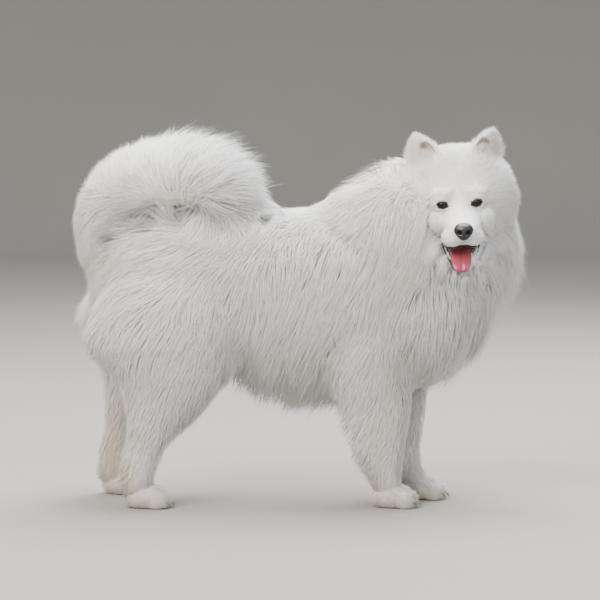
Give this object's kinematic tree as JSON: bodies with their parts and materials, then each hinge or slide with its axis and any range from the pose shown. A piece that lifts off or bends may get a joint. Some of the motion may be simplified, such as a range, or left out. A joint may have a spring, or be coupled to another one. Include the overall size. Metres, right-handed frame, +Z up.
{
  "type": "samoyed",
  "caption": "Standing white spitz dog, still life-size model: thick coat with mane, trousers and plumed tail curled over the back, head turned to its right, mouth open, tongue out.",
  "frame": {"origin": "on the floor, under the middle of the model's box", "axes": "+X to the front of the body, +Y to the animal's left, +Z up"},
  "size_m": [0.8991, 0.3658, 0.7415],
  "materials": {
    "coat": "long straight white fur with a cream cast",
    "paw_coat": "short white fur, soiled beige",
    "claw": "satin horn",
    "eye": "wet, dark brown",
    "nose": "moist, pebbled, black",
    "tongue": "moist, pink"
  },
  "bodies": {
    "root": {"head": "coat", "lower_jaw": "coat", "neck": "coat", "torso": "coat", "tail": "coat", "foreleg_right": "coat", "foreleg_left": "coat", "hindleg_right": "coat", "hindleg_left": "coat", "ear_right": "coat", "ear_left": "coat", "forepaw_right": "paw_coat", "forepaw_left": "paw_coat", "hindpaw_right": "paw_coat", "hindpaw_left": "paw_coat", "hock_right": "coat", "hock_left": "coat", "claw_fore_right_1": "claw", "claw_fore_right_2": "claw", "claw_fore_right_3": "claw", "claw_fore_right_4": "claw", "claw_fore_left_1": "claw", "claw_fore_left_2": "claw", "claw_fore_left_3": "claw", "claw_fore_left_4": "claw", "claw_hind_right_1": "claw", "claw_hind_right_2": "claw", "claw_hind_right_3": "claw", "claw_hind_right_4": "claw", "claw_hind_left_1": "claw", "claw_hind_left_2": "claw", "claw_hind_left_3": "claw", "claw_hind_left_4": "claw", "eye_right": "eye", "eye_left": "eye", "nose": "nose", "tongue": "tongue"}
  },
  "joints": []
}
